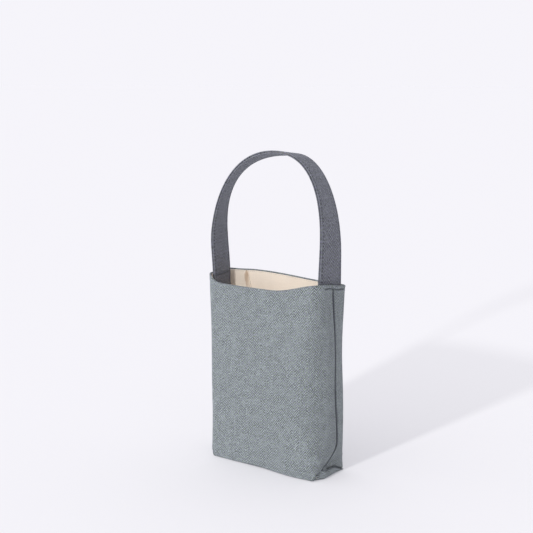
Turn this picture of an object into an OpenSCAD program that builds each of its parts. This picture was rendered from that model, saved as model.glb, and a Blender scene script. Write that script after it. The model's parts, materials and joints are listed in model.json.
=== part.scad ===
// Small open-top cloth carry bag: outer shell, cotton lining, a base turned up at both ends, and
// one wide strap whose ends are sewn inside the mouth over the side seams.
// X runs across the bag, Y through its depth (-Y is the front), Z up from the surface it stands on.
// Each cloth panel is cut at its front or back fold into a face, which can lean out when the mouth
// opens, and wraps, which cover the sides and stay with the base.

/* [Bag] */
// Width of the bag at its base
base_width = 150; // [120:1:200]
// Width of the bag at its mouth
mouth_width = 153; // [130:1:210]
// Depth of the bag from front to back
depth = 52; // [44:1:80]
// Height of the walls
height = 217; // [150:1:300]
// Height to which the base turns up at each end
base_turn_up = 8; // [5:1:20]

/* [Fabric] */
// Thickness of the outer cloth
outer_t = 1.2; // [0.8:0.1:1.6]
// Thickness of the lining cloth
lining_t = 0.6; // [0.4:0.1:0.8]
// How far the outer cloth rolls over the top of the lining
hem = 1.6; // [1:0.1:4]

/* [Strap] */
// Width of the strap, cut down if the bag is too shallow for it
strap_width = 39; // [25:0.5:60]
// Height of the strap's top above the mouth
strap_rise = 141; // [100:1:220]
// Thickness of each cloth face of the strap
strap_face_t = 1.2; // [0.8:0.1:1.6]
// Thickness of the webbing core inside the strap
strap_core_t = 0.8; // [0.4:0.1:2]
// Length of the strap's sewn end below the mouth
strap_end_length = 25; // [15:1:40]
// Squareness of the strap's arch, where 2 is an ellipse and more gives straighter legs
arch_power = 2.5; // [2:0.1:3]

/* [Stitching] */
// Thickness of the sewing thread
thread = 0.4; // [0.3:0.1:0.6]
// Distance from the strap's edge to its row of stitches
edge_margin = 2.6; // [1.5:0.1:5]
// Distance from the mouth down to the row that holds the strap
tack_drop = 4.5; // [3:0.5:12]
// Distance from one stitch to the next in that row
stitch_pitch = 3; // [2:0.5:6]

/* [Hidden] */

gap = 0.3;                             // running gap between cloth that moves apart
seam_gap = thread / 2 + 0.2;           // half the space that a seam's thread lies in
past = 1;                              // how far a cutting shape runs past what it cuts
cloth_t = outer_t + lining_t;
half_depth = depth / 2;
half_base = base_width / 2;
taper = (mouth_width - base_width) / 2 / height;
strap_w = min(strap_width, depth - 2 * (cloth_t + gap));
strap_t = 2 * strap_face_t + strap_core_t;
bend_z = height + strap_w / 2 + 1;     // height of the line that the strap bends on
arch_half = mouth_width / 2 - cloth_t - 2 * gap;
arch_rise = height + strap_rise - bend_z;
arch_steps = 48;
lining_top = height - hem - 2 * thread;
mouth_thread_z = height - hem - 1.5 * thread;
// Front edges of the outer and lining wraps, just behind the faces
outer_wrap_y = -half_depth + outer_t + gap;
lining_wrap_y = -half_depth + cloth_t + gap;

outer_colour = "#8f969c";
lining_colour = "#e8dac6";
thread_colour = "#5d6168";
strap_colour = "#7f858c";

// Half width of the bag's outside at height z
function half_width(z) = half_base + taper * z;

// A block with the bag's own taper, set in from its outside by inset
module tapered_block(inset, y0, y1, z0, z1)
{
    translate([0, y1, 0])
        rotate([90, 0, 0])
            linear_extrude(y1 - y0)
                polygon([
                    [-half_width(z0) + inset, z0], [half_width(z0) - inset, z0],
                    [half_width(z1) - inset, z1], [-half_width(z1) + inset, z1]
                ]);
}

// Cloth on both sides of the bag, from inset to inset + t below the outside
module side_cloth(inset, t, y0, y1, z0, z1)
{
    difference()
    {
        tapered_block(inset, y0, y1, z0, z1);
        tapered_block(inset + t, y0 - past, y1 + past, z0 - past, z1 + past);
    }
}

// The right side's half of what is drawn, or the left's when side is -1
module one_side(side)
{
    intersection()
    {
        children();
        translate([side > 0 ? 0 : -mouth_width - base_width, -depth, -past])
            cube([mouth_width + base_width, 2 * depth, 2 * height]);
    }
}

module back_side()
{
    mirror([0, 1, 0]) children();
}

// Mirror a right-hand piece to the left when side is -1
module on_side(side)
{
    if (side > 0)
        children();
    else
        mirror([1, 0, 0]) children();
}

// Face of the outer cloth, rolled over the lining along the mouth
module outer_face_panel()
{
    color(outer_colour)
    {
        union()
        {
            tapered_block(0, -half_depth, -half_depth + outer_t, gap, height);
            tapered_block(outer_t + gap, -half_depth, -half_depth + cloth_t, height - hem, height);
        }
    }
}

module lining_face_panel()
{
    color(lining_colour)
        tapered_block(
            outer_t + gap, -half_depth + outer_t, -half_depth + cloth_t, outer_t + gap, lining_top
        );
}

// Halves of the sides that belong to one panel, from its fold to the side seams
module outer_wraps()
{
    color(outer_colour)
    {
        union()
        {
            side_cloth(0, outer_t, outer_wrap_y, -seam_gap, base_turn_up + seam_gap, height);
            side_cloth(0, cloth_t, lining_wrap_y, -seam_gap, height - hem, height);
        }
    }
}

module lining_wraps()
{
    color(lining_colour)
        side_cloth(outer_t, lining_t, lining_wrap_y, -seam_gap, base_turn_up + seam_gap, lining_top);
}

// Floor of the bag, turned up at both ends
module base_cloth(inset, t, low, half_y)
{
    difference()
    {
        tapered_block(inset, -half_y, half_y, low, base_turn_up - seam_gap);
        tapered_block(inset + t, -half_y - past, half_y + past, low + t, base_turn_up + past);
    }
}

module outer_base_panel()
{
    color(outer_colour) base_cloth(0, outer_t, 0, -outer_wrap_y);
}

module lining_base_panel()
{
    color(lining_colour) base_cloth(outer_t, lining_t, outer_t, -lining_wrap_y);
}

// Thread that closes the mouth seam along a face, hidden under the roll of outer cloth
module face_mouth_thread()
{
    color(thread_colour)
        tapered_block(
            outer_t + gap, -half_depth + outer_t, -half_depth + cloth_t,
            mouth_thread_z, mouth_thread_z + thread
        );
}

// The same seam's thread along one side
module side_mouth_thread(side)
{
    color(thread_colour)
        one_side(side)
            side_cloth(
                outer_t, lining_t, lining_wrap_y, -lining_wrap_y,
                mouth_thread_z, mouth_thread_z + thread
            );
}

// Thread down the middle of one side, between the front panel's wrap and the back panel's
module side_seam_thread(side, inset, t, top)
{
    color(thread_colour)
        one_side(side)
            side_cloth(inset, t, -thread / 2, thread / 2, base_turn_up + seam_gap, top);
}

// Thread of the crosswise seam between the base's turned-up end and the wraps
module base_seam_thread(side)
{
    color(thread_colour)
        one_side(side)
            side_cloth(
                thread / 2, outer_t - thread, outer_wrap_y, -outer_wrap_y,
                base_turn_up - thread / 2, base_turn_up + thread / 2
            );
}

// Outline of the arch, set in from the strap's outer face
function arch_line(inset) = [
    for (i = [0:arch_steps])
        let (a = 180 * i / arch_steps)
            [
                (arch_half - inset) * sign(cos(a)) * pow(abs(cos(a)), 2 / arch_power),
                (arch_rise - inset) * pow(abs(sin(a)), 2 / arch_power)
            ]
];

// A band of the strap's arch, from y0 to y1
module strap_band(inset, t, y0, y1)
{
    outside = arch_line(inset);
    inside = arch_line(inset + t);
    translate([0, y1, bend_z])
        rotate([90, 0, 0])
            linear_extrude(y1 - y0)
                polygon(concat(outside, [for (i = [arch_steps:-1:0]) inside[i]]));
}

// Round foot of both strap legs, about the line that the strap bends on
module strap_feet(inset, t, width)
{
    for (side = [-1, 1])
        on_side(side)
            translate([arch_half - inset - t, 0, bend_z])
                rotate([0, 90, 0])
                    cylinder(d = width, h = t, $fn = 64);
}

module strap_layer(inset, t, width)
{
    union()
    {
        strap_band(inset, t, -width / 2, width / 2);
        difference()
        {
            strap_feet(inset, t, width);
            translate([-mouth_width, -depth, bend_z]) cube([2 * mouth_width, 2 * depth, depth]);
        }
    }
}

module strap_outer_face()
{
    color(strap_colour) strap_layer(0, strap_face_t, strap_w);
}

module strap_core()
{
    color(lining_colour) strap_layer(strap_face_t, strap_core_t, strap_w - 2 * edge_margin);
}

module strap_inner_face()
{
    color(strap_colour) strap_layer(strap_face_t + strap_core_t, strap_face_t, strap_w);
}

// Stitching near one edge of the strap, on its outer and its inner face
module strap_edge_thread(side)
{
    middle = side * (strap_w / 2 - edge_margin);
    color(thread_colour)
    {
        strap_band(-thread, thread, middle - thread, middle + thread);
        strap_band(strap_t, thread, middle - thread, middle + thread);
    }
}

// Outer face of the strap's sewn end, which lies flat against the lining
strap_end_x = half_width(height - strap_end_length) - cloth_t - gap;

module strap_end(side)
{
    color(strap_colour)
        on_side(side)
            translate([strap_end_x - strap_t, -strap_w / 2, height - strap_end_length])
                cube([strap_t, strap_w, strap_end_length]);
}

// Stitches that hold the strap's end: one row outside the bag and one inside, on the strap
module strap_tack_thread(side)
{
    count = floor((strap_w - 2 * edge_margin) / stitch_pitch);
    stitch = stitch_pitch * 2 / 3;
    color(thread_colour)
        on_side(side)
            for (i = [0:count - 1], x = [strap_end_x - strap_t - thread, mouth_width / 2])
                translate([
                    x, (i - (count - 1) / 2) * stitch_pitch - stitch / 2, height - tack_drop
                ])
                    cube([thread, stitch, thread]);
}

outer_face_panel();  // outer_front_panel
back_side() outer_face_panel();  // outer_back_panel
outer_base_panel();
outer_wraps();  // outer_front_wraps
back_side() outer_wraps();  // outer_back_wraps
lining_face_panel();  // lining_front_panel
back_side() lining_face_panel();  // lining_back_panel
lining_base_panel();
lining_wraps();  // lining_front_wraps
back_side() lining_wraps();  // lining_back_wraps
face_mouth_thread();  // front_mouth_thread
back_side() face_mouth_thread();  // back_mouth_thread
side_mouth_thread(-1);  // left_mouth_thread
side_mouth_thread(1);  // right_mouth_thread
side_seam_thread(-1, 0, outer_t, height);  // left_side_seam_thread
side_seam_thread(1, 0, outer_t, height);  // right_side_seam_thread
side_seam_thread(-1, outer_t, lining_t, lining_top);  // left_lining_seam_thread
side_seam_thread(1, outer_t, lining_t, lining_top);  // right_lining_seam_thread
base_seam_thread(-1);  // left_base_seam_thread
base_seam_thread(1);  // right_base_seam_thread
strap_outer_face();
strap_inner_face();
strap_core();
strap_edge_thread(-1);  // strap_front_edge_thread
strap_edge_thread(1);  // strap_back_edge_thread
strap_end(-1);  // left_strap_end
strap_end(1);  // right_strap_end
strap_tack_thread(-1);  // left_strap_tack_thread
strap_tack_thread(1);  // right_strap_tack_thread
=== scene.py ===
"""Small open-top cloth carry bag with a cotton lining and one wide strap.

X runs across the bag, Y through its depth (-Y is the front) and Z up. Shapes are worked out in
millimetres and turned into metres when a mesh is made. A point on a wall is given by c, the distance
along the cloth from the middle of its face, and by its height z.
"""

import json
import math

import bmesh
import bpy
import numpy as np
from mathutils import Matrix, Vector


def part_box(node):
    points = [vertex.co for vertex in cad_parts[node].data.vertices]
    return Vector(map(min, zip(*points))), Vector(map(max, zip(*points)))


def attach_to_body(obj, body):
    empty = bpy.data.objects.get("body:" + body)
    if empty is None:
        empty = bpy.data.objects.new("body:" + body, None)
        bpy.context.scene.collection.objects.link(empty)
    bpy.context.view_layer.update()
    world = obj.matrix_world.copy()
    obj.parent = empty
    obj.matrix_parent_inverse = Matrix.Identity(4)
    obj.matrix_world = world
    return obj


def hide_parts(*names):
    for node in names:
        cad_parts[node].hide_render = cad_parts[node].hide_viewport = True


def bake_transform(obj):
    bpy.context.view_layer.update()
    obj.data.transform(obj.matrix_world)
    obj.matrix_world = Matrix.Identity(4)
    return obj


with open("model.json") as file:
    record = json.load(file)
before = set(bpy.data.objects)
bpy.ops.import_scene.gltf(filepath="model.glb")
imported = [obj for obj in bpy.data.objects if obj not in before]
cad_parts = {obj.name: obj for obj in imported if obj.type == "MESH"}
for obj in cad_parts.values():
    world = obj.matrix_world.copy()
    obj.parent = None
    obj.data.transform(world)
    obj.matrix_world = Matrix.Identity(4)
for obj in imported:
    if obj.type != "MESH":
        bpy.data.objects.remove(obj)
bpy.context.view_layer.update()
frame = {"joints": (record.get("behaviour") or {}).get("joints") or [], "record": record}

MM = 0.001


# ---------------------------------------------------------------- small helpers
def node_box(name):
    """Lowest and highest corner of a CAD node, in millimetres."""
    low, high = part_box(name)
    return low / MM, high / MM


def clamp(value, low=0.0, high=1.0):
    return max(low, min(high, value))


def mix(a, b, t):
    return a + (b - a) * t


def smooth(edge0, edge1, value):
    """0 at edge0, 1 at edge1, and a smooth step between them."""
    t = clamp((value - edge0) / (edge1 - edge0))
    return t * t * (3 - 2 * t)


def bell(value, centre, width):
    """Smooth bump of height 1 round centre."""
    return math.exp(-(((value - centre) / width) ** 2))


def spread(low, high, count):
    return [low + (high - low) * i / (count - 1) for i in range(count)]


def unit(v):
    return v / (np.linalg.norm(v) + 1e-12)


# ---------------------------------------------------------------- sizes, from the frame
BASE_HIGH = node_box("outer_base_panel")[1]
PANEL_LOW, PANEL_HIGH = node_box("outer_front_panel")
STRAP_HIGH = node_box("strap_outer_face")[1]
END_LOW, END_HIGH = node_box("right_strap_end")
JOINTS = {joint["name"]: joint for joint in frame["joints"]}

HALF_WIDTH = BASE_HIGH.x                # of the bag at its base
TOP_HALF_WIDTH = PANEL_HIGH.x           # and at its mouth
HALF_DEPTH = -PANEL_LOW.y
HEIGHT = PANEL_HIGH.z
STRAP_WIDTH = END_HIGH.y - END_LOW.y
STRAP_T = END_HIGH.x - END_LOW.x
STRAP_HALF = STRAP_HIGH.x               # half span of the arch, to its outer face
STRAP_TOP = STRAP_HIGH.z
STRAP_END_Z = END_LOW.z
BEND_Z = JOINTS["strap_swing"]["pos_m"][2] / MM

OUTER_T = 0.8                           # thickness of the outer cloth
LINING_T = 0.4
LINING_INSET = 1.5                      # from the outside of the bag to the lining
ROLL = 0.9                              # radius of the roll of outer cloth along the mouth
LIP = 1.1                               # radius of the fold beside a side seam
THREAD = 0.25                           # radius of the mouth's thread, and of the other rows:
SEAM_SHADE_THREAD = 0.85                      # thick enough to fill a side seam, so that the dark thread stands in for the shade in the seam's valley
TACK_THREAD = 0.5
# The crosswise seams' thread is made thick to fill their gap: dark thread standing in for the shade
# there.
BASE_SHADE_THREAD = 0.45
STRAP_THREAD = 0.2
LINING_THREAD = 0.18
STITCH = 3.0                            # length of a stitch
LINING_STITCH = 2.6
CREASE_AT = -57.0                       # c of the pressed fold where it leaves the mouth
CREASE_SLOPE = 0.16                     # how far it leans to the right for each mm down
BACK_RADIUS = 4.5                       # of the back corners
TACK_DROP = 4.5                         # from the mouth down to the strap's row of stitches
EDGE_MARGIN = 2.6                       # from the strap's edge to its row of stitches


# ---------------------------------------------------------------- the bag's shape
def half_width(z):
    """Half width of the bag at height z: puffed out a little where it stands."""
    return mix(HALF_WIDTH, TOP_HALF_WIDTH, z / HEIGHT) + 1.0 * bell(z, 2, 8)


def corner_radius(z, side):
    """Radius of a front corner: soft on the right, tighter on the left, small at the base."""
    high = mix(27.0, 12.5, smooth(120, 202, z)) if side > 0 else 9.0
    return mix(7.0, high, smooth(4, 60, z))


def skew(y, z, side):
    """The bag is a little wider at its back than at its front, most of all at its top left."""
    t = smooth(-HALF_DEPTH, HALF_DEPTH, y)
    return mix(-1.4, 2.2, t) if side > 0 else mix(-0.8, mix(3.6, 7.4, smooth(110, 205, z)), t)


def seam_y(z, side):
    """Where the front panel's folded edge lies on a side. It drifts back as it goes down, and
    sweeps forward to the bottom corner under the side's crosswise seam."""
    top_y = -1.0 if side > 0 else -3.0
    wall = mix(9.5, top_y, clamp((z - 38) / 170)) + 0.9 * math.sin(z / 19.0) * smooth(40, 90, z)
    t = clamp((z - 8.0) / 30.0)
    corner = -HALF_DEPTH + (1.0 if side > 0 else 9.0)
    return mix(corner, wall, 1 - (1 - t) ** 2.1)


def crosswise_seam_z(y):
    """Height of the seam that closes the turned-up end of the base, at y."""
    return 0.6 + 7.6 * smooth(HALF_DEPTH, 4, y) + 3.0 * smooth(-6, -22, y)


def front_rim(x):
    """Height of the mouth's front edge: drawn up at the strap and sagging between."""
    left = 9.0 * bell(x, -TOP_HALF_WIDTH, 10.5)
    right = 11.0 * smooth(12, TOP_HALF_WIDTH, x) ** 1.2
    return HEIGHT - 8.0 + left + right


def back_rim(x):
    """Height of the mouth's back edge, lower towards the right."""
    return HEIGHT + 1.4 - 4.8 * smooth(-35, 76, x) - 1.8 * smooth(-40, -76, x)


def rim(x, y):
    return mix(front_rim(x), back_rim(x), smooth(-HALF_DEPTH, HALF_DEPTH, y))


def ripple(c, z, seed):
    """Slow, irregular waves of soft cloth, within about 1."""
    return (
        0.40 * math.sin(c / 23.0 + z / 61.0 + seed)
        + 0.32 * math.sin(c / 13.0 - z / 37.0 + 2.1 * seed)
        + 0.28 * math.sin(z / 17.0 + c / 47.0 + 3.7 * seed)
    )


def front_bulge(x, z):
    """How far the front stands out: at the slack mouth, and low on the right."""
    across = max(0.0, math.cos(math.pi * x / 165))
    mouth = 3.4 * smooth(140, HEIGHT, z) * across ** 0.8
    belly = 1.2 * across
    base = 4.0 * bell(z, 8, 24) * bell(x, 45, 30)
    return mouth + belly + base


def back_bulge(x, z):
    across = max(0.0, math.cos(math.pi * x / 165))
    return 1.4 * across * (1 - smooth(120, HEIGHT, z)) - 1.0 * across * smooth(150, HEIGHT, z)


def turn(c, radius, half_x, half_y):
    """Point and outward normal at c on a face that looks along -Y and turns its two corners."""
    side = 1 if c >= 0 else -1
    along = abs(c)
    straight = half_x - radius
    arc = radius * math.pi / 2
    if along < straight:
        return side * along, -half_y, 0.0, -1.0
    if along < straight + arc:
        a = (along - straight) / radius
        x = side * (straight + radius * math.sin(a))
        return x, -half_y + radius * (1 - math.cos(a)), side * math.sin(a), -math.cos(a)
    return side * half_x, -half_y + radius + along - straight - arc, float(side), 0.0


def c_at(y, radius, half_x, half_y):
    """The c at which that outline reaches y."""
    straight = half_x - radius
    beyond = y + half_y
    if beyond < radius:
        return straight + radius * math.acos(1 - clamp(beyond / radius))
    return straight + radius * math.pi / 2 + beyond - radius


def tuck(x, z, side):
    """How far a bottom corner of the front is rounded off."""
    return (5.5 if side < 0 else 2.0) * (1 - clamp(z / 10)) ** 2 * smooth(50, HALF_WIDTH, abs(x))


def front_point(c, z, inset=0.0):
    """Point on the front panel's side of the bag, set in from its outside by inset."""
    side = 1 if c >= 0 else -1
    x, y, nx, ny = turn(c, corner_radius(z, side), half_width(z), HALF_DEPTH)
    wave = 0.5 * ripple(c, z, 1.0) * smooth(0, 30, z)
    out = front_bulge(x, z) * -ny + wave - inset
    x += nx * out + side * (abs(nx) * skew(y, z, side) - tuck(x, z, side))
    return np.array((x, y + ny * out, z))


def hollow(y, z, side):
    """How far the gusset lies under the front panel's lip, near the base."""
    start = seam_y(z, side)
    low = 1 - smooth(12, 32, z)
    return 3.2 * low * (1 - smooth(0, 26, y - start))


def back_point(c, z, inset=0.0):
    """The same for the back panel, whose c also grows towards +X."""
    side = 1 if c >= 0 else -1
    x, y, nx, ny = turn(c, BACK_RADIUS, half_width(z), HALF_DEPTH)
    y, ny = -y, -ny
    wave = 0.5 * ripple(c, z, 4.0) * smooth(0, 30, z)
    waist = 2.6 * bell(z, 150, 46) * smooth(4, HALF_DEPTH, y) * abs(nx)
    out = back_bulge(x, z) * ny + wave - inset - waist - hollow(y, z, side) * abs(nx)
    return np.array((x + nx * out + side * abs(nx) * skew(y, z, side), y + ny * out, z))


def relief(p, side):
    """How far the outer cloth is drawn in, or stands out where negative: at the strap's row of
    stitches, at the roll above it, and at the edge of the hem's turning."""
    x, y, z = p
    top = rim(x, y)
    below = top - z
    on_side = smooth(HALF_WIDTH - 9, HALF_WIDTH - 3, abs(x))
    row = on_side * smooth(-17, -14, y) * (1 - smooth(21, 23.5, y))
    knob = bell(y, seam_y(HEIGHT, side) + 1, 2.2) * bell(below, 2.0, 1.5)
    uneven = 1 + 0.35 * math.sin(1.3 * y) + 0.3 * smooth(8, 20, y)
    drawn = 1.4 * uneven * bell(below, TACK_DROP + 0.5 * math.sin(y / 4), 0.9) - 0.9 * knob
    drawn -= (0.7 + 0.35 * math.sin(0.9 * y + side)) * bell(below, 1.3, 1.7)
    return row * drawn - 0.3 * (1 - smooth(6.6, 8.0, below))


def outer_front_point(c, z, inset=0.0):
    side = 1 if c >= 0 else -1
    return front_point(c, z, inset + relief(front_point(c, z), side))


def outer_back_point(c, z, inset=0.0):
    side = 1 if c >= 0 else -1
    return back_point(c, z, inset + relief(back_point(c, z), side))


# ---------------------------------------------------------------- mesh makers
def mesh_object(name, points, faces, uvs=None):
    """Object from points in millimetres, with one UV per point in metres of cloth."""
    mesh = bpy.data.meshes.new(name)
    mesh.from_pydata([tuple(float(v) * MM for v in p) for p in points], [], faces)
    if uvs is not None:
        layer = mesh.uv_layers.new(name="Cloth")
        corners = np.zeros(len(mesh.loops), int)
        mesh.loops.foreach_get("vertex_index", corners)
        layer.data.foreach_set("uv", (np.array(uvs, float)[corners] * MM).ravel())
    mesh.polygons.foreach_set("use_smooth", [True] * len(mesh.polygons))
    obj = bpy.data.objects.new(name, mesh)
    bpy.context.scene.collection.objects.link(obj)
    return obj


def grid_object(name, rows, uv_rows, flip=False, closed=False):
    """Sheet through rows of points. A closed one joins the ends of each row."""
    width = len(rows[0])
    faces = []
    for i in range(len(rows) - 1):
        for j in range(width if closed else width - 1):
            a, b = i * width + j, i * width + (j + 1) % width
            quad = (a, b, b + width, a + width)
            faces.append(quad[::-1] if flip else quad)
    points = [p for row in rows for p in row]
    return mesh_object(name, points, faces, [uv for row in uv_rows for uv in row])


def keep_result(obj):
    """Replace the object's mesh by what its modifiers make of it."""
    graph = bpy.context.evaluated_depsgraph_get()
    made = bpy.data.meshes.new_from_object(obj.evaluated_get(graph), depsgraph=graph)
    obj.modifiers.clear()
    obj.data = made
    return obj


def thicken(obj, thickness):
    """Give a sheet its thickness, on the side away from its faces, and rest it on the floor."""
    solid = obj.modifiers.new("Thickness", "SOLIDIFY")
    solid.thickness = thickness * MM
    solid.offset = -1
    keep_result(obj)
    for vertex in obj.data.vertices:
        vertex.co.z = max(vertex.co.z, 0.0)
    return obj


def tube(path, radius, sides=6):
    """Points and faces of a closed round tube through points."""
    path = [np.array(p, float) for p in path]
    count = len(path)
    points, faces = [], []
    for i, p in enumerate(path):
        ahead = unit(path[min(i + 1, count - 1)] - path[max(i - 1, 0)])
        guide = np.array((0, 0, 1.0)) if abs(ahead[2]) < 0.8 else np.array((1.0, 0, 0))
        across = unit(np.cross(ahead, guide))
        up = np.cross(across, ahead)
        size = radius * (0.5 if i in (0, count - 1) else 1.0)
        for k in range(sides):
            a = 2 * math.pi * k / sides
            points.append(p + size * (across * math.cos(a) + up * math.sin(a)))
    for i in range(count - 1):
        for k in range(sides):
            a, b = i * sides + k, i * sides + (k + 1) % sides
            faces.append((a, b, b + sides, a + sides))
    faces.append(tuple(range(sides))[::-1])
    faces.append(tuple((count - 1) * sides + k for k in range(sides)))
    return points, faces


class Line:
    """Line on the cloth with the cloth's outward normal, read by distance along it."""

    def __init__(self, points, normals):
        self.points = np.array(points, float)
        self.normals = np.array(normals, float)
        steps = np.linalg.norm(np.diff(self.points, axis=0), axis=1)
        self.at = np.concatenate(([0.0], np.cumsum(steps)))
        self.length = float(self.at[-1])

    def read(self, distance):
        point = [np.interp(distance, self.at, self.points[:, k]) for k in range(3)]
        normal = [np.interp(distance, self.at, self.normals[:, k]) for k in range(3)]
        return np.array(point), unit(np.array(normal))


def stitches(name, lines, pitch, radius=THREAD, share=0.7, sink=0.1):
    """Rows of stitches: each one rises out of the cloth and dips back into it."""
    points, faces = [], []
    for line in lines:
        count = max(1, round(line.length / pitch))
        step = line.length / count
        for i in range(count):
            path = []
            for t in spread(0, 1, 5):
                p, n = line.read((i + 0.5 + share * (t - 0.5)) * step)
                path.append(p + n * (1.2 * radius * math.sin(math.pi * t) - sink))
            new_points, new_faces = tube(path, radius, 5)
            start = len(points)
            points += new_points
            faces += [tuple(v + start for v in face) for face in new_faces]
    return mesh_object(name, points, faces, [(p[0] + p[1], p[2]) for p in points])


# ---------------------------------------------------------------- outer cloth
def edge_columns(reach, count):
    """Places across a panel: even over its middle, close together near its side edges."""
    near = [0.0, 0.4, 0.9, 1.6, 2.6, 4.0, 6.0]
    inner = spread(-reach + 8, reach - 8, count)
    return [-reach + d for d in near] + inner + [reach - d for d in reversed(near)]


def wall_shares(count):
    """Shares of a wall's height, closer together near the base and below the mouth."""
    return [0.955 * t ** 1.4 for t in spread(0, 1, count)] + spread(0.957, 1, 22)


def lip_radius(z):
    """Radius of the fold beside a side seam, which closes up in the hem and at the base."""
    return LIP * (1 - 0.7 * smooth(210, 214, z)) * mix(0.3, 1, smooth(2, 16, z))


def valley_depth(z):
    """Depth of the fold at a side seam: shallow where the strap's end lies behind it."""
    return mix(5.0, 1.1, smooth(150, 184, z)) * mix(0.25, 1, smooth(2, 18, z))


def seam_gap(z, side):
    """Distance along Y between the folded edges of the front and the back panel. It grows
    where the seam runs aslant, so that the seam keeps its width."""
    aslant = math.hypot(1.0, seam_y(z + 0.5, side) - seam_y(z - 0.5, side))
    return 2.3 * min(aslant, 2.4) * (1 - smooth(211, 214, z)) * smooth(5, 10, z) + 0.1


def curl_in(row, uvs, z, facing, share=1.0):
    """Add the folded edge at both ends of a row, turning into the seam."""
    radius, depth = lip_radius(z) * share, valley_depth(z) * share
    for side in (-1, 1):
        closed = 1 + (0.5 * seam_gap(z, side) + 0.1) * share / radius
        profile = (
            (0.35, 0.06 * radius), (0.65, 0.24 * radius), (0.9, 0.6 * radius), (1.0, 1.1 * radius),
            (mix(1, closed, 0.15), 0.5 * depth + 0.7 * radius), (closed, depth + 0.3 * share),
        )
        end, near = (row[0], row[3]) if side < 0 else (row[-1], row[-4])
        ahead = unit((end - near) * (1, 1, 0))
        inward = np.array((-ahead[1], ahead[0], 0.0)) * side * facing
        c, height = uvs[0] if side < 0 else uvs[-1]
        for along, deep in profile:
            place = 0 if side < 0 else len(row)
            row.insert(place, end + ahead * radius * along + inward * deep)
            uvs.insert(place, (c + side * (radius * along + deep), height))


def hem_profile(top):
    """Inset and height of the roll of cloth over the mouth, from its outside to its inside."""
    steps = []
    for k in range(1, 7):
        a = math.pi * k / 6
        steps.append((ROLL * (1 - math.cos(a)), top - ROLL + ROLL * math.sin(a)))
    return steps + [(2 * ROLL - 0.1, top - ROLL - 0.7)]


UNDER = ((8.0, 0.5), (4.0, 0.35), (1.6, 0.2), (0.5, 0.7))   # inset and height, turned under the bag
REACH = 1000.0                                              # stands for a panel's side edge


def panel(name, point, edge, bottom, facing, count=121):
    """Outer panel with its lips, its hem, and its bottom edge turned under the bag."""
    rows, uv_rows = [], []
    columns = edge_columns(REACH, count)

    def c_in(u, z):
        """c of column u in the row at z."""
        side = 1 if u >= 0 else -1
        reach = edge(z, side)
        beside = REACH - abs(u)
        if beside < 8:
            return side * (reach - beside)
        return side * (reach - 8) * abs(u) / (REACH - 8)

    def add(row, uvs, z, share=1.0):
        curl_in(row, uvs, z, facing, share)
        rows.append(row)
        uv_rows.append(uvs)

    for inset, drop in UNDER:
        row, uvs = [], []
        for u in columns:
            c = c_in(u, 0)
            p = point(c, 0, inset)
            p[2] = bottom(p) + drop
            row.append(p)
            uvs.append((c, -inset))
        add(row, uvs, 0, 0.15)
    for share in wall_shares(130):
        guess = share * HEIGHT
        row, uvs = [], []
        for u in columns:
            p = point(c_in(u, guess), guess)
            z = mix(bottom(p) + 1.6, rim(p[0], p[1]) - ROLL, share)
            c = c_in(u, z)
            row.append(point(c, z))
            uvs.append((c, z))
        add(row, uvs, guess)
    for k in range(7):
        row, uvs = [], []
        for u in columns:
            c = c_in(u, HEIGHT)
            p = point(c, HEIGHT)
            inset, z = hem_profile(rim(p[0], p[1]))[k]
            row.append(point(c, z, inset))
            uvs.append((c, HEIGHT + ROLL * k / 2))
        add(row, uvs, HEIGHT)
    sheet = grid_object(name, rows, uv_rows, flip=facing < 0)
    return thicken(sheet, OUTER_T)


def front_edge(z, side):
    return c_at(seam_y(z, side), corner_radius(z, side), half_width(z), HALF_DEPTH)


def back_edge(z, side):
    """The back panel meets the front's lip, and passes under it at the base."""
    low = 1 - smooth(5, 8, z)
    y = seam_y(z, side) + mix(2 * lip_radius(z) + seam_gap(z, side), -3.0, low)
    return c_at(-y, BACK_RADIUS, half_width(z), HALF_DEPTH)


def front_bottom(p):
    return 1.3 * bell(p[0], -8, 17)


def back_bottom(p):
    on_side = smooth(HALF_WIDTH - 6, HALF_WIDTH - 1, abs(p[0]))
    return (crosswise_seam_z(p[1]) + 1.2 * smooth(HALF_DEPTH, 16, p[1])) * on_side


def flap_x(y):
    """Half width of the base where its turned-up ends bulge most: tucked in behind the front."""
    return HALF_WIDTH - 3.6 + 6.4 * smooth(-25, -12, y)


def outer_base():
    """Floor of the bag, its ends turned up to the crosswise seams."""
    rows, uv_rows = [], []
    for y in spread(-HALF_DEPTH + 1.2, HALF_DEPTH - 1.2, 44):
        x, seam = flap_x(y), crosswise_seam_z(y)
        end = [
            (x - 4.2, seam + 4.5), (x - 3.4, seam + 0.5), (x - 1.9, seam + 0.1),
            (x - 1.1, seam - 0.2 * seam ** 0.5), (x - 0.4, 0.78 * seam),
            (x, 0.5 * seam), (x - 0.1, 0.3 * seam),
            (x - 0.7, 0.13 * seam + 0.05), (x - 2.2, 0.08), (x - 5.0, 0.05),
        ]
        floor_x = spread(-x + 8, x - 8, 44)
        profile = [(-a, b) for a, b in end]
        for a in floor_x:
            camber = 0.6 * (1 - (a / HALF_WIDTH) ** 2) * max(0.0, 1 - (y / HALF_DEPTH) ** 2)
            profile.append((a, 0.1 + camber))
        profile += end[::-1]
        rows.append([np.array((a, y, b)) for a, b in profile])
        along = np.cumsum([0.0] + [
            math.dist(p, q) for p, q in zip(profile, profile[1:])
        ])
        uv_rows.append([(s, y) for s in along])
    return thicken(grid_object("outer_base_cloth", rows, uv_rows, flip=True), OUTER_T)


# ---------------------------------------------------------------- lining
def over_fold(y, z, side):
    """How far the lining stands in over the fold at a side seam, above the strap's end none."""
    low = 1 - smooth(30, 60, z)
    width = mix(5.0, 8.0, low)
    rise = (valley_depth(z) + mix(1.2, 2.5, low)) * (1 - smooth(172, 188, z))
    return rise * bell(y, seam_y(z, side) + 2.0, width)


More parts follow.
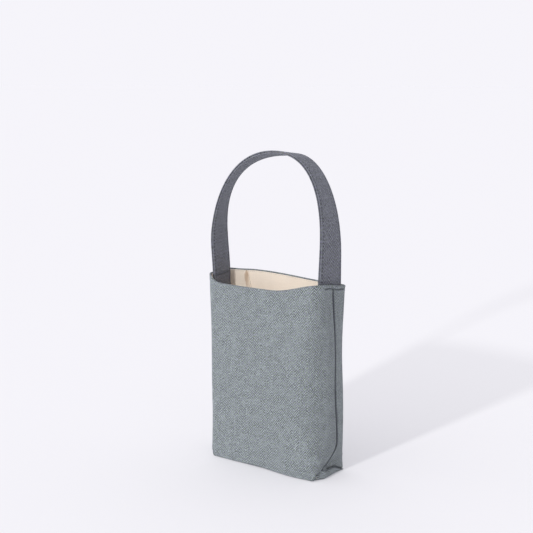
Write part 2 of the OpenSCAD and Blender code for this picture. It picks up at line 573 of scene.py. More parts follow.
def crease(c, z):
    """Pressed fold of the lining near the back's left corner."""
    line = CREASE_AT + CREASE_SLOPE * (HEIGHT - z) + 0.8 * math.sin(z / 5.0)
    depth = 4.0 * smooth(HEIGHT - 60, HEIGHT - 20, z) + 0.3
    return depth * (bell(c, line, 1.0) - 0.5 * bell(c, line + 2.2, 1.3))


def lining_wave(c, z, seed):
    """Loose cotton: its waves are shorter than the outer cloth's, and slack near the mouth."""
    return 0.45 * ripple(1.7 * c, 1.3 * z, seed) + 0.25 * math.sin(c / 4.1 + z / 90.0 + seed)


def lining_inset(p, c, z, seed):
    """How far the lining lies in from the outside of the bag, beside the outer point p."""
    side = 1 if c >= 0 else -1
    on_side = smooth(HALF_WIDTH - 12, HALF_WIDTH - 2, abs(p[0]))
    held = on_side * smooth(STRAP_END_Z - 22, STRAP_END_Z - 4, z)
    slack = lining_wave(c, z, seed) * (1 - smooth(HEIGHT - 14, HEIGHT, z)) * (1 - held)
    low = 1.8 * (1 - smooth(8, 22, z))
    return LINING_INSET + 0.6 + slack + low + over_fold(p[1], z, side) * on_side


def lining_front_point(c, z, extra=0.0):
    return front_point(c, z, lining_inset(front_point(c, z), c, z, 2.0) + extra)


def lining_back_point(c, z, extra=0.0):
    fold = crease(c, z) * (1 - smooth(HEIGHT - 6, HEIGHT, z))
    return back_point(c, z, lining_inset(back_point(c, z), c, z, 5.0) + fold + extra)


def lining_panel(name, point, edge, outer, facing):
    """Lining of one face and its halves of the sides, from the hem down to the floor."""
    rows, uv_rows = [], []
    for share in spread(0, 1, 110):
        guess = share * HEIGHT
        row, uvs = [], []
        for u in spread(-1, 1, 280):
            side = 1 if u >= 0 else -1
            c = u * edge(guess, side)
            p = outer(c, guess)
            z = mix(2.0, rim(p[0], p[1]) - ROLL - 0.5, share)
            q = point(u * edge(z, side), z)
            row.append(q)
            uvs.append((c, z))
        rows.append(row)
        uv_rows.append(uvs)
    sheet = grid_object(name, rows, uv_rows, flip=facing < 0)
    return thicken(sheet, LINING_T)


def lining_front_edge(z, side):
    return c_at(seam_y(z, side) + 0.7, corner_radius(z, side), half_width(z), HALF_DEPTH)


def lining_back_edge(z, side):
    return c_at(-seam_y(z, side) - 0.7, BACK_RADIUS, half_width(z), HALF_DEPTH)


def lining_base():
    """Floor of the lining, its edge turned up into the walls."""
    rows, uv_rows = [], []
    half_x, half_y = HALF_WIDTH - 3.0, HALF_DEPTH - 2.6
    for v in spread(-1, 1, 40):
        row, uvs = [], []
        for u in spread(-1, 1, 90):
            x, y = u * half_x, v * half_y
            edge = max(0.0, (abs(u) - 0.96) / 0.04, (abs(v) - 0.9) / 0.1)
            z = 2.0 + 0.25 * ripple(2 * x, 3 * y, 7.0) + 1.8 * edge ** 2
            row.append(np.array((x, y, z)))
            uvs.append((x, y))
        rows.append(row)
        uv_rows.append(uvs)
    return thicken(grid_object("lining_base_cloth", rows, uv_rows), LINING_T)


# ---------------------------------------------------------------- strap
class Arch:
    """Line of one edge of the strap's outer face, from its right end over the top to its left
    end. Each half is a superellipse above a straight leg: reach, bend height and power."""

    def __init__(self, y, centre, top, right, left):
        self.y = y
        line = []
        for side, (reach, bend, power) in ((1, right), (-1, left)):
            half = []
            for z in spread(STRAP_END_Z, bend, 30)[:-1]:
                half.append((side * reach, z))
            for k in range(200):
                a = math.pi / 2 * k / 200
                x = (reach - side * centre) * math.cos(a) ** (2 / power)
                half.append((centre + side * x, bend + (top - bend) * math.sin(a) ** (2 / power)))
            half.append((centre, top))
            line += half if side > 0 else half[-2::-1]
        foot = {side: wall_reach(y, STRAP_END_Z + 14, side) - 2.7 for side in (1, -1)}
        settled = []
        for x, z in line:
            side = 1 if x > 0 else -1
            settled.append((mix(side * foot[side], x, smooth(HEIGHT - 9, HEIGHT + 55, z)), z))
        self.points = np.array(settled)
        steps = np.linalg.norm(np.diff(self.points, axis=0), axis=1)
        self.at = np.concatenate(([0.0], np.cumsum(steps)))

    def read(self, share):
        distance = share * self.at[-1]
        x, z = (np.interp(distance, self.at, self.points[:, k]) for k in (0, 1))
        return np.array((x, self.y, z))


def wall_reach(y, z, side):
    """Distance of the bag's side from the middle, at y and z."""
    if y < seam_y(z, side):
        c = side * c_at(y, corner_radius(z, side), half_width(z), HALF_DEPTH)
        return abs(front_point(c, z)[0])
    return abs(back_point(side * c_at(-y, BACK_RADIUS, half_width(z), HALF_DEPTH), z)[0])


FRONT_EDGE = Arch(
    -STRAP_WIDTH / 2 + 0.5, 12.5, STRAP_TOP + 2.4,
    right=(STRAP_HALF, BEND_Z + 30, 2.4), left=(STRAP_HALF + 3, BEND_Z + 3, 2.15),
)
BACK_EDGE = Arch(
    STRAP_WIDTH / 2 - 0.5, 15.0, STRAP_TOP - 2.4,
    right=(STRAP_HALF + 0.8, BEND_Z + 8, 2.1), left=(STRAP_HALF + 10.0, BEND_Z + 28, 2.45),
)
RINGS = 230
STRAP_MIDDLES = [
    (FRONT_EDGE.read(s) + BACK_EDGE.read(s)) / 2 for s in spread(0, 1, RINGS)
]
STRAP_ACROSS = [
    unit(BACK_EDGE.read(s) - FRONT_EDGE.read(s)) for s in spread(0, 1, RINGS)
]
STRAP_AT = np.concatenate(
    ([0.0], np.cumsum(np.linalg.norm(np.diff(STRAP_MIDDLES, axis=0), axis=1)))
)


def strap_frame(i):
    """Middle, across and outward directions of the strap's outer face at ring i."""
    ahead = STRAP_MIDDLES[min(i + 1, RINGS - 1)] - STRAP_MIDDLES[max(i - 1, 0)]
    return STRAP_MIDDLES[i], STRAP_ACROSS[i], unit(np.cross(STRAP_ACROSS[i], ahead))


def strap_point(i, w, depth):
    """Point of the strap at ring i, w across it and depth above its middle layer."""
    middle, across, outward = strap_frame(i)
    return middle + across * w + outward * (depth - STRAP_T / 2)


def strap_places():
    half = STRAP_WIDTH / 2
    fine = [0.0, 0.05, 0.15, 0.35, 0.6, 0.9, 1.3, 1.8, 2.2, 2.6, 3.0, 3.5, 4.2]
    inner = spread(-half + 5.5, half - 5.5, 15)
    return [-half + d for d in fine] + inner + [half - d for d in reversed(fine)]


CORE_HALF = 0.42            # half thickness of the strap's core
LAYER_GAP = 0.28            # from the strap's middle layer to each face, at the edges


def face_top(w):
    """Outside of a strap face: round at its edges and pulled down at its rows of stitches."""
    half = STRAP_WIDTH / 2
    round_edge = (1 - (1 - clamp((half - abs(w)) / 0.9)) ** 2) ** 0.5
    dent = 0.85 * bell(abs(w), half - EDGE_MARGIN, 0.7)
    middle = (STRAP_T / 2 + LAYER_GAP) / 2
    return middle + (STRAP_T / 2 - middle) * round_edge - dent


def face_under(w):
    """Inside of a strap face, which lies on the core and meets the other face at its edges."""
    half = STRAP_WIDTH / 2
    round_edge = (1 - (1 - clamp((half - abs(w)) / 0.9)) ** 2) ** 0.5
    middle = (STRAP_T / 2 + LAYER_GAP) / 2
    low = middle - (middle - LAYER_GAP) * round_edge
    return mix(low, CORE_HALF + 0.02, smooth(half - EDGE_MARGIN + 0.3, half - EDGE_MARGIN - 0.5, abs(w)))


def strap_band(name, places, lower, upper, first=0):
    """Closed band between two depths, each a function of the place across the strap."""
    rows, uv_rows = [], []
    for i in range(first, RINGS - first):
        rows.append(
            [strap_point(i, w, upper(w)) for w in places]
            + [strap_point(i, w, lower(w)) for w in reversed(places)]
        )
        ring = [(w, STRAP_AT[i]) for w in places]
        uv_rows.append(ring + ring[::-1])
    band = grid_object(name, rows, uv_rows, closed=True)
    mesh = bmesh.new()
    mesh.from_mesh(band.data)
    bmesh.ops.holes_fill(mesh, edges=[e for e in mesh.edges if e.is_boundary], sides=0)
    bmesh.ops.recalc_face_normals(mesh, faces=mesh.faces)
    mesh.to_mesh(band.data)
    mesh.free()
    return band


def strap_rows(side):
    """Both rows of stitches near one edge of the strap, on its outer and on its inner face."""
    w = side * (STRAP_WIDTH / 2 - EDGE_MARGIN)
    rings = range(2, RINGS - 2)
    return [
        Line(
            [strap_point(i, w, face * face_top(w)) for i in rings],
            [strap_frame(i)[2] * face for i in rings],
        )
        for face in (1, -1)
    ]


# ---------------------------------------------------------------- seams and stitches
def on_cloth(point, places, inset=0.0):
    """Line through places (c, z) on a panel, with the panel's outward normals."""
    points = [point(c, z, inset) for c, z in places]
    outer = [point(c, z, inset - 1.0) for c, z in places]
    return Line(points, [unit(o - p) for o, p in zip(outer, points)])


def inwards(line):
    return Line(line.points, -line.normals)


def mouth_row(point, edge):
    """Row of stitches that holds the lining under the roll of the mouth, seen from inside."""
    places = []
    for u in spread(-1, 1, 160):
        side = 1 if u >= 0 else -1
        c = u * (edge(HEIGHT, side) - 1.5)
        p = point(c, HEIGHT)
        places.append((c, rim(p[0], p[1]) - ROLL - 1.6))
    return inwards(on_cloth(point, places, LINING_T))


def side_seam_line(side):
    """Line a little way into the fold between the front panel's lip and the back panel, where a thick
    dark thread stands in for the shade at the bottom of the fold.
    """
    points, normals = [], []
    for z in spread(7.5, HEIGHT - TACK_DROP - 0.5, 110):
        c = side * front_edge(z, side)
        p = front_point(c, z, 1.3 + 0.4 * (1 - smooth(4, 20, z)) - 0.35 * smooth(160, 184, z))
        p[1] += lip_radius(z) + 0.5 * seam_gap(z, side)
        points.append(p)
        normals.append(np.array((float(side), 0.0, 0.0)))
    return Line(points, normals)


def lining_seam_line(side):
    places = [
        (side * lining_front_edge(z, side), z) for z in spread(6, HEIGHT - 5, 90)
    ]
    return inwards(on_cloth(lining_front_point, places, LINING_T))


def base_seam_line(side):
    """Crosswise seam between the base's turned-up end and the panels above it."""
    points = []
    for y in spread(-20, HALF_DEPTH - 4, 50):
        z = crosswise_seam_z(y) + 0.3
        points.append(np.array((side * (flap_x(y) - 1.2), y, z)))
    return Line(points, [np.array((side * 0.8, 0.0, 0.6))] * len(points))


def tack_outside(side):
    """Row of stitches through the side of the bag and the strap's end behind it."""
    half = STRAP_WIDTH / 2 - 1.5
    places = []
    for y in spread(-half + 2, half + 2, 40):
        front = y < seam_y(HEIGHT - 8, side) + 1
        point = outer_front_point if front else outer_back_point
        z = rim(side * TOP_HALF_WIDTH, y) - TACK_DROP + 0.5 * math.sin(y / 2.4) * math.sin(y / 5.7)
        radius = corner_radius(z, side) if front else BACK_RADIUS
        c = side * c_at(y if front else -y, radius, half_width(z), HALF_DEPTH)
        p, q = point(c, z, 0.0), point(c, z, -1.0)
        places.append((p, unit(q - p)))
    points, normals = zip(*places)
    return Line(points, normals)


def tack_inside(side):
    """The same row on the inner face of the strap's end."""
    wanted = HEIGHT - TACK_DROP + 1.5
    ring = min(
        (i for i in range(RINGS) if side * STRAP_MIDDLES[i][0] > 0),
        key=lambda i: abs(STRAP_MIDDLES[i][2] - wanted),
    )
    places = spread(-STRAP_WIDTH / 2 + 2.6, STRAP_WIDTH / 2 - 2.6, 40)
    normal = -strap_frame(ring)[2]
    return Line([strap_point(ring, w, -face_top(w)) for w in places], [normal] * len(places))


# ---------------------------------------------------------------- materials
class Value:
    """Shader number that can be written as arithmetic."""

    def __init__(self, tree, socket):
        self.tree, self.socket = tree, socket

    def work(self, operation, *others):
        node = self.tree.nodes.new("ShaderNodeMath")
        node.operation = operation
        for socket, value in zip(node.inputs, (self, *others)):
            if isinstance(value, Value):
                self.tree.links.new(value.socket, socket)
            else:
                socket.default_value = value
        return Value(self.tree, node.outputs[0])

    def __add__(self, other):
        return self.work("ADD", other)

    def __sub__(self, other):
        return self.work("SUBTRACT", other)

    def __mul__(self, other):
        return self.work("MULTIPLY", other)

    def __truediv__(self, other):
        return self.work("DIVIDE", other)

    def fraction(self):
        return self.work("FRACT")

    def cosine(self):
        """Wave of one turn per unit, from 0 to 1."""
        return (self * (2 * math.pi)).work("COSINE") * 0.5 + 0.5

    def between(self, low, high):
        """0 below low, 1 above high."""
        node = self.tree.nodes.new("ShaderNodeMapRange")
        node.interpolation_type = "SMOOTHSTEP"
        node.inputs["From Min"].default_value = low
        node.inputs["From Max"].default_value = high
        self.tree.links.new(self.socket, node.inputs["Value"])
        return Value(self.tree, node.outputs["Result"])


class Cloth:
    """Material under construction, with the cloth's coordinates in millimetres."""

    def __init__(self, name):
        self.material = bpy.data.materials.new(name)
        self.material.use_nodes = True
        self.tree = self.material.node_tree
        self.shader = self.tree.nodes["Principled BSDF"]
        uv = self.tree.nodes.new("ShaderNodeUVMap")
        uv.uv_map = "Cloth"
        split = self.tree.nodes.new("ShaderNodeSeparateXYZ")
        self.tree.links.new(uv.outputs[0], split.inputs[0])
        self.u = Value(self.tree, split.outputs[0]) * 1000
        self.v = Value(self.tree, split.outputs[1]) * 1000

    def place(self, u, v):
        node = self.tree.nodes.new("ShaderNodeCombineXYZ")
        for socket, value in zip(node.inputs, (u, v)):
            self.tree.links.new(value.socket, socket)
        return node.outputs[0]

    def noise(self, u, v, detail=2.0):
        """Noise over u and v, about 0 to 1, with features one unit across."""
        node = self.tree.nodes.new("ShaderNodeTexNoise")
        node.inputs["Scale"].default_value = 1.0
        node.inputs["Detail"].default_value = detail
        self.tree.links.new(self.place(u, v), node.inputs["Vector"])
        return Value(self.tree, node.outputs["Fac"])

    def random(self, a, b):
        """A number from 0 to 1 for each pair of whole numbers."""
        node = self.tree.nodes.new("ShaderNodeTexWhiteNoise")
        node.noise_dimensions = "2D"
        self.tree.links.new(self.place(a, b), node.inputs["Vector"])
        return Value(self.tree, node.outputs["Value"])

    def mix(self, factor, a, b):
        """Colour between a and b, each a colour or the result of another mix."""
        node = self.tree.nodes.new("ShaderNodeMix")
        node.data_type = "RGBA"
        self.tree.links.new(factor.socket, node.inputs[0])
        for socket, colour in ((node.inputs[6], a), (node.inputs[7], b)):
            if isinstance(colour, tuple):
                socket.default_value = (*colour, 1.0)
            else:
                self.tree.links.new(colour, socket)
        return node.outputs[2]

    def finish(self, colour, height, depth, roughness, sheen, tint):
        """Connect colour and a bump of the given depth in millimetres."""
        self.tree.links.new(colour, self.shader.inputs["Base Color"])
        self.tree.links.new(roughness.socket, self.shader.inputs["Roughness"])
        self.shader.inputs["Specular IOR Level"].default_value = 0.25
        self.shader.inputs["Sheen Weight"].default_value = sheen
        self.shader.inputs["Sheen Roughness"].default_value = 0.6
        self.shader.inputs["Sheen Tint"].default_value = (*tint, 1.0)
        bump = self.tree.nodes.new("ShaderNodeBump")
        bump.inputs["Strength"].default_value = 1.0
        bump.inputs["Distance"].default_value = depth * MM
        self.tree.links.new(height.socket, bump.inputs["Height"])
        self.tree.links.new(bump.outputs[0], self.shader.inputs["Normal"])
        return self.material


def scaled(colour, k):
    return tuple(clamp(c * k) for c in colour)


def herringbone(name, colour, pitch=1.85, repeat=9.0, plain_beyond=1e4):
    """Heavy twill whose ribs lean right in a wide stripe and left in a narrow one. They fade
    out where u passes plain_beyond, on the strap's turned edges."""
    cloth = Cloth(name)
    fine = cloth.noise(cloth.u / 1.0, cloth.v / 1.0, 3.0)
    u = cloth.u + (cloth.noise(cloth.u / 6, cloth.v / 6) - 0.5) * 1.5
    v = cloth.v + (cloth.noise(cloth.u / 5 + 31, cloth.v / 8) - 0.5) * 1.8
    stripe = (u / repeat).fraction()
    leans_left = stripe.between(0.66, 0.67)
    way = leans_left * 2.0 - 1.0
    across = (v * 0.6 + u * way * 0.8) / pitch + (fine - 0.5) * 0.55
    along = (v * 0.8 - u * way * 0.6) / 1.4 + across.work("FLOOR") * 0.37
    rib = across.cosine()
    yarn = along.cosine()
    float_tone = cloth.random(across.work("FLOOR"), along.work("FLOOR"))
    clear = cloth.noise(cloth.u / 11 + 5, cloth.v / 9, 1.0).between(0.36, 0.58) * 0.45 + 0.55
    turned = cloth.u.work("ABSOLUTE").between(plain_beyond, plain_beyond + 1)
    clear = clear * (turned * -0.9 + 1.0)
    ends = stripe.between(0.0, 0.03) * (stripe.between(0.97, 1.0) * -1.0 + 1.0)
    middle = stripe.between(0.63, 0.665) * (stripe.between(0.665, 0.7) * -1.0 + 1.0)
    unbroken = ends * (middle * -1.0 + 1.0)
    loose = cloth.noise(cloth.u / 2.3, cloth.v / 2.3, 4.0)
    height = (rib * clear * 0.6 + yarn * rib * 0.25) * unbroken + fine * 0.3 + float_tone * 0.12
    shade = cloth.noise(cloth.u / 42, cloth.v / 60, 2.0)
    body = cloth.mix(float_tone, scaled(colour, 0.55), scaled(colour, 1.3))
    body = cloth.mix(shade.between(0.3, 0.7) * 0.4 + 0.6, scaled(colour, 0.8), body)
    # Painted shade: the colour falls towards a fifth of itself in the ribs' hollows, where their shadow
    # lies.
    hollow_shade = (rib.between(0.0, 0.7) * -1.0 + 1.0) * clear
    groove_shaded = cloth.mix(hollow_shade, body, scaled(colour, 0.2))
    # Painted highlight: the colour rises almost threefold on the raised crests of the ribs and yarns.
    lit = cloth.mix((rib * yarn * loose).between(0.2, 0.55) * clear, groove_shaded, scaled(colour, 2.9))
    tone = cloth.noise(cloth.u / 1.2 + 57, cloth.v / 1.2, 2.0)
    olive = tone.between(0.54, 0.64) * 0.6
    violet = (tone * -1.0 + 1.0).between(0.54, 0.64) * 0.7
    r, g, b = colour
    flecked = cloth.mix(olive, lit, (1.04 * r, 1.1 * g, 0.66 * b))
    flecked = cloth.mix(violet, flecked, (1.08 * r, 0.88 * g, 1.26 * b))
    roughness = fine * 0.1 + 0.84
    return cloth.finish(flecked, height, 0.6, roughness, 0.22, (0.8, 0.85, 0.95))


def plain_weave(name, colour, pitch=0.62, crease_shaded=False):
    """Plain cotton: warp over weft, with slubs and a few pressed wrinkles. When asked for, it has
    painted shade along the fold that crease() gives the back lining: a dark brown band in its
    colour that stands in for most of the fold's shadow, as the fold's own shape is too shallow."""
    cloth = Cloth(name)
    u = cloth.u + (cloth.noise(cloth.u / 6, cloth.v / 30) - 0.5) * 0.9
    v = cloth.v + (cloth.noise(cloth.u / 30, cloth.v / 6) - 0.5) * 0.9
    warp = (u / pitch).cosine()
    weft = (v / pitch).cosine()
    over = (u / (2 * pitch) + v / (2 * pitch)).cosine()
    thread = warp * over + weft * (over * -1.0 + 1.0)
    slub = cloth.noise(cloth.u / 0.9, cloth.v / 16, 2.0).between(0.6, 0.75) * 0.6
    slub = slub + cloth.noise(cloth.u / 19, cloth.v / 1.0, 2.0).between(0.62, 0.78) * 0.5
    wrinkle = cloth.noise(cloth.u / 26, cloth.v / 17, 3.0)
    fine = cloth.noise(cloth.u / 0.35, cloth.v / 0.35, 2.0)
    height = thread * 0.22 + slub * 0.18 + wrinkle * 1.6 + fine * 0.05
    shade = cloth.noise(cloth.u / 30 + 11, cloth.v / 44, 3.0)
    body = cloth.mix(shade.between(0.3, 0.7), scaled(colour, 0.95), scaled(colour, 1.04))
    # Painted shade: the colour is darker between the threads, where the weave dips.
    body = cloth.mix(thread.between(0.0, 0.5), scaled(colour, 0.84), body)
    body = cloth.mix(slub, body, scaled(colour, 1.12))
    # Painted shade: a dark brown band in the colour along the crease, standing in for the shadow in the
    # fold.
    if crease_shaded:
        top = CREASE_AT + CREASE_SLOPE * HEIGHT
        beside = cloth.u + cloth.v * CREASE_SLOPE - top + (wrinkle - 0.5) * 3.0
        fold = beside.work("ABSOLUTE").between(0.2, 1.7) * -1.0 + 1.0
        fold = fold * cloth.v.between(HEIGHT - 70, HEIGHT - 25) * 0.62
        r, g, b = colour
        body = cloth.mix(fold, body, (0.46 * r, 0.34 * g, 0.24 * b))
    roughness = fine * 0.1 + 0.82
    return cloth.finish(body, height, 0.35, roughness, 0.15, (1.0, 0.95, 0.88))


def webbing(name, colour):
    """Woven tape with a ribbed face."""
    cloth = Cloth(name)
    ribs = (cloth.v / 1.2).cosine()
    columns = (cloth.u / 1.5 + (cloth.v / 1.2).work("FLOOR") * 0.5).cosine()
    fine = cloth.noise(cloth.u / 0.5, cloth.v / 0.5, 3.0)
    # Painted shade: the colour is darker between the ribs, where the tape dips.
    body = cloth.mix((ribs * columns).between(0.0, 0.8), scaled(colour, 0.75), colour)
    return cloth.finish(body, ribs * columns + fine * 0.3, 0.3, fine * 0.1 + 0.85, 0.1, colour)


def sewing_thread(name, colour):
    """Twisted two-ply thread."""
    cloth = Cloth(name)
    twisted = ((cloth.u + cloth.v) / 0.55).cosine()
    fine = cloth.noise(cloth.u / 0.3, cloth.v / 0.3, 2.0)
    # Painted shade and highlight: darker in the grooves of the twist and lighter on its crests.
    body = cloth.mix(twisted.between(0.1, 0.9), scaled(colour, 0.7), scaled(colour, 1.15))
    return cloth.finish(body, twisted + fine * 0.4, 0.08, fine * 0.15 + 0.6, 0.1, colour)


def slot_colour(slot, tint=(1.0, 1.0, 1.0)):
    for entry in frame["record"]["materials"]:
        if entry["slot"] == slot:
            return tuple(c * t for c, t in zip(entry["base_color"], tint))


CLOTH_TINT = (1.06, 1.10, 1.03)
STRAP_TINT = (0.94, 0.92, 0.96)
LINING_TINT = (1.2, 1.19, 1.2)
MATERIALS = {
    "outer_cloth": herringbone("outer_herringbone", slot_colour("outer_cloth", CLOTH_TINT)),
    "strap_cloth": herringbone(
        "strap_herringbone", slot_colour("strap_cloth", STRAP_TINT), pitch=2.3, repeat=12.0,
        plain_beyond=STRAP_WIDTH / 2 - 3.4,
    ),
    "lining_cotton": plain_weave("lining_plain_weave", slot_colour("lining_cotton", LINING_TINT)),
    "lining_cotton_crease_shaded": plain_weave(
        "lining_plain_weave_crease_shaded", slot_colour("lining_cotton", LINING_TINT), crease_shaded=True
    ),
    "strap_webbing": webbing("core_webbing", slot_colour("strap_webbing")),
    "grey_thread": sewing_thread("thread_grey", slot_colour("grey_thread")),
    "cream_thread": sewing_thread("thread_cream", slot_colour("cream_thread")),
}


# ---------------------------------------------------------------- putting it together
HINGE_Z = BEND_Z * MM
# for each moving body: the two bodies, where a piece starts to follow the second, and where it
# follows it fully. The front's starts in front of the side seams, so that they stay closed.
BLENDS = {
    "front_wall": ("bag", "front_wall", (0, -0.004, 0), (0, -0.0255, 0)),
    "back_wall": ("bag", "back_wall", (0, 0.009, 0), (0, 0.023, 0)),
    "strap": ("bag", "strap", (0, 0, HINGE_Z - 0.0225), (0, 0, HINGE_Z + 0.0235)),
}


def attach(obj, slot, body, *nodes):
    """Give a piece its material, bake its place into its mesh if its body is blended or else let it
    follow its body, and let it stand for CAD nodes.
    """
    obj.data.materials.clear()
    obj.data.materials.append(MATERIALS[slot])
    if body in BLENDS:
        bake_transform(obj)
    else:
        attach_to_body(obj, body)
    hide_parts(*nodes)
    return obj


def cut_size(obj):
    """Size of the flat cloth that a piece is made from, in metres."""
    layer = obj.data.uv_layers["Cloth"].data
    uv = np.zeros(2 * len(layer))
    layer.foreach_get("uv", uv)
    size = np.ptp(uv.reshape(-1, 2), axis=0)
    return tuple(float(s) for s in size)


front_cloth = attach(
    panel("front_cloth", outer_front_point, front_edge, front_bottom, 1),
    "outer_cloth", "front_wall", "outer_front_panel", "outer_front_wraps",
)
back_cloth = attach(
    panel("back_cloth", outer_back_point, back_edge, back_bottom, -1),
    "outer_cloth", "back_wall", "outer_back_panel", "outer_back_wraps",
)
base_cloth = attach(outer_base(), "outer_cloth", "bag", "outer_base_panel")
front_lining = attach(
    lining_panel("front_lining", lining_front_point, lining_front_edge, front_point, 1),
    "lining_cotton", "front_wall", "lining_front_panel", "lining_front_wraps",
)
back_lining = attach(
    lining_panel("back_lining", lining_back_point, lining_back_edge, back_point, -1),
    "lining_cotton", "back_wall", "lining_back_panel", "lining_back_wraps",
)
# The back lining takes the lining material with painted shade along its crease.
back_lining.data.materials[0] = MATERIALS["lining_cotton_crease_shaded"]
base_lining = attach(lining_base(), "lining_cotton", "bag", "lining_base_panel")

strap_outside = attach(
    strap_band("strap_outside_cloth", strap_places(), face_under, face_top),
    "strap_cloth", "strap", "strap_outer_face", "left_strap_end", "right_strap_end",
)
strap_inside = attach(
    strap_band(
        "strap_inside_cloth", strap_places(), lambda w: -face_top(w), lambda w: -face_under(w)
    ),
    "strap_cloth", "strap", "strap_inner_face",
)
core_half_width = STRAP_WIDTH / 2 - EDGE_MARGIN - 0.4
strap_tape = attach(
    strap_band(
        "strap_tape", spread(-core_half_width, core_half_width, 9),
        lambda w: -CORE_HALF, lambda w: CORE_HALF, first=1,
    ),
    "strap_webbing", "strap", "strap_core",
)

for word, end, point, edge in (
    ("front", "left", lining_front_point, lining_front_edge),
    ("back", "right", lining_back_point, lining_back_edge),
):
    attach(
        stitches(word + "_mouth_row", [mouth_row(point, edge)], STITCH),
        "cream_thread", word + "_wall", word + "_mouth_thread", end + "_mouth_thread",
    )
for side, word in ((-1, "left"), (1, "right")):
    # The side seam's thread is real, but it is thick and set shallow so that it stands in for the shade
    # in the seam's valley.
    attach(
        stitches(word + "_seam_shade_row", [side_seam_line(side)], STITCH, SEAM_SHADE_THREAD, share=1.0),
        "grey_thread", "bag", word + "_side_seam_thread",
    )
    attach(
        stitches(
            word + "_lining_row", [lining_seam_line(side)], LINING_STITCH, LINING_THREAD
        ),
        "cream_thread", "bag", word + "_lining_seam_thread",
    )
    # The crosswise seam's thread is real, but it is thick enough to fill the gap and stand in for its
    # shade.
    attach(
        stitches(word + "_base_shade_row", [base_seam_line(side)], STITCH, BASE_SHADE_THREAD, share=1.0),
        "grey_thread", "bag", word + "_base_seam_thread",
    )
    attach(
        stitches(
            word + "_tack_row", [tack_outside(side), tack_inside(side)], STITCH,
            TACK_THREAD, share=0.98, sink=0.25,
        ),
        "grey_thread", "bag", word + "_strap_tack_thread",
    )
for side, word in ((-1, "front"), (1, "back")):
    attach(
        stitches(
            word + "_strap_rows", strap_rows(side), STITCH, STRAP_THREAD, share=1.0, sink=0.3
        ),
        "grey_thread", "strap", f"strap_{word}_edge_thread",
    )

for piece in (front_cloth, back_cloth, front_lining, back_lining):
    cut_size(piece)
for piece in (base_cloth, base_lining):
    cut_size(piece)
for piece in (strap_outside, strap_inside, strap_tape):
    cut_size(piece)


# ---------------------------------------------------------------- floor, light and camera
BACKGROUND = (0.921, 0.910, 0.960)
KEY_PLACE = Vector((-0.03, -0.835, 0.527))
KEY_STRENGTH = 0.43         # what the key adds to a white surface that faces it
FLOOR_GREY = 0.6


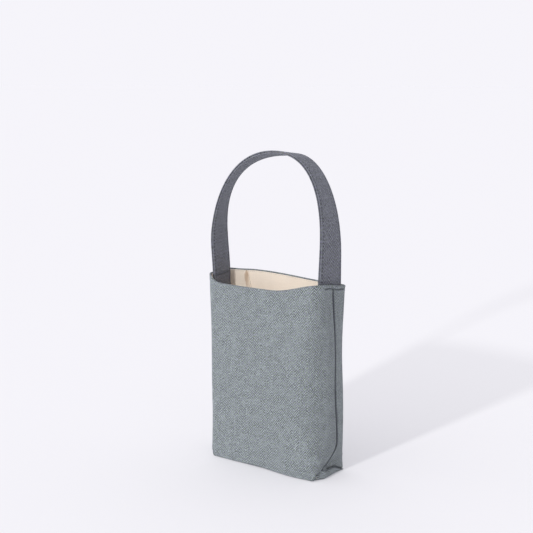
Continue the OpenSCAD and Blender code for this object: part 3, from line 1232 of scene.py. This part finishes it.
def add_floor():
    """Floor that looks like the background where the key reaches it, and darker in shadow."""
    reach = 60.0
    corners = [(-reach, -reach, 0), (reach, -reach, 0), (reach, reach, 0), (-reach, reach, 0)]
    mesh = bpy.data.meshes.new("floor")
    mesh.from_pydata(corners, [], [(0, 1, 2, 3)])
    floor = bpy.data.objects.new("floor", mesh)
    bpy.context.scene.collection.objects.link(floor)
    material = bpy.data.materials.new("floor_sweep")
    material.use_nodes = True
    tree = material.node_tree
    tree.nodes.clear()
    place = tree.nodes.new("ShaderNodeTexCoord")
    split = tree.nodes.new("ShaderNodeSeparateXYZ")
    tree.links.new(place.outputs["Object"], split.inputs[0])
    x = Value(tree, split.outputs[0]) - KEY_PLACE.x
    y = Value(tree, split.outputs[1]) - KEY_PLACE.y
    cosine = (x * x + y * y + KEY_PLACE.z ** 2).work("POWER", -0.5) * KEY_PLACE.z
    grain = tree.nodes.new("ShaderNodeTexNoise")
    grain.inputs["Scale"].default_value = 900.0
    tree.links.new(place.outputs["Object"], grain.inputs["Vector"])
    spare = cosine * (-FLOOR_GREY * KEY_STRENGTH) + (Value(tree, grain.outputs["Fac"]) - 0.5) * 0.006
    rest = tree.nodes.new("ShaderNodeCombineXYZ")
    for channel, level in enumerate(BACKGROUND):
        tree.links.new((spare + (1 - FLOOR_GREY) * level).socket, rest.inputs[channel])
    glow = tree.nodes.new("ShaderNodeEmission")
    tree.links.new(rest.outputs[0], glow.inputs["Color"])
    paper = tree.nodes.new("ShaderNodeBsdfDiffuse")
    paper.inputs["Color"].default_value = (FLOOR_GREY, FLOOR_GREY, FLOOR_GREY, 1)
    both = tree.nodes.new("ShaderNodeAddShader")
    tree.links.new(glow.outputs[0], both.inputs[0])
    tree.links.new(paper.outputs[0], both.inputs[1])
    out = tree.nodes.new("ShaderNodeOutputMaterial")
    tree.links.new(both.outputs[0], out.inputs["Surface"])
    mesh.materials.append(material)


def add_key():
    """Small bright light above the camera's left, equally strong at every distance."""
    light = bpy.data.lights.new("key", "POINT")
    light.shadow_soft_size = 0.03
    light.energy = KEY_STRENGTH * 39.48
    light.use_nodes = True
    tree = light.node_tree
    falloff = tree.nodes.new("ShaderNodeLightFalloff")
    falloff.inputs["Strength"].default_value = 1.0
    tree.links.new(falloff.outputs["Constant"], tree.nodes["Emission"].inputs["Strength"])
    key = bpy.data.objects.new("key", light)
    key.location = KEY_PLACE
    key.visible_camera = False
    bpy.context.scene.collection.objects.link(key)


def add_world():
    """Even surroundings whose light is a little weaker from the right."""
    world = bpy.data.worlds.new("studio")
    bpy.context.scene.world = world
    world.use_nodes = True
    tree = world.node_tree
    glow = tree.nodes["Background"]
    glow.inputs["Color"].default_value = (*BACKGROUND, 1)
    place = tree.nodes.new("ShaderNodeTexCoord")
    split = tree.nodes.new("ShaderNodeSeparateXYZ")
    tree.links.new(place.outputs["Generated"], split.inputs[0])
    path = tree.nodes.new("ShaderNodeLightPath")
    unseen = Value(tree, path.outputs["Is Camera Ray"]) * -1.0 + 1.0
    strength = Value(tree, split.outputs[0]) * unseen * -0.4 + 1.0
    tree.links.new(strength.socket, glow.inputs["Strength"])


def add_camera():
    """Camera to the right of the front, looking slightly down."""
    pitch, yaw = 0.17610, 0.61327
    data = bpy.data.cameras.new("camera")
    data.lens = 70.92
    data.clip_end = 200
    camera = bpy.data.objects.new("camera", data)
    camera.location = (0.6588, -0.9525, 0.4355)
    camera.rotation_euler = (math.pi / 2 - pitch, 0, yaw)
    bpy.context.scene.collection.objects.link(camera)
    bpy.context.scene.camera = camera


add_floor()
add_key()
add_world()
add_camera()
bpy.context.scene.view_settings.view_transform = "Standard"
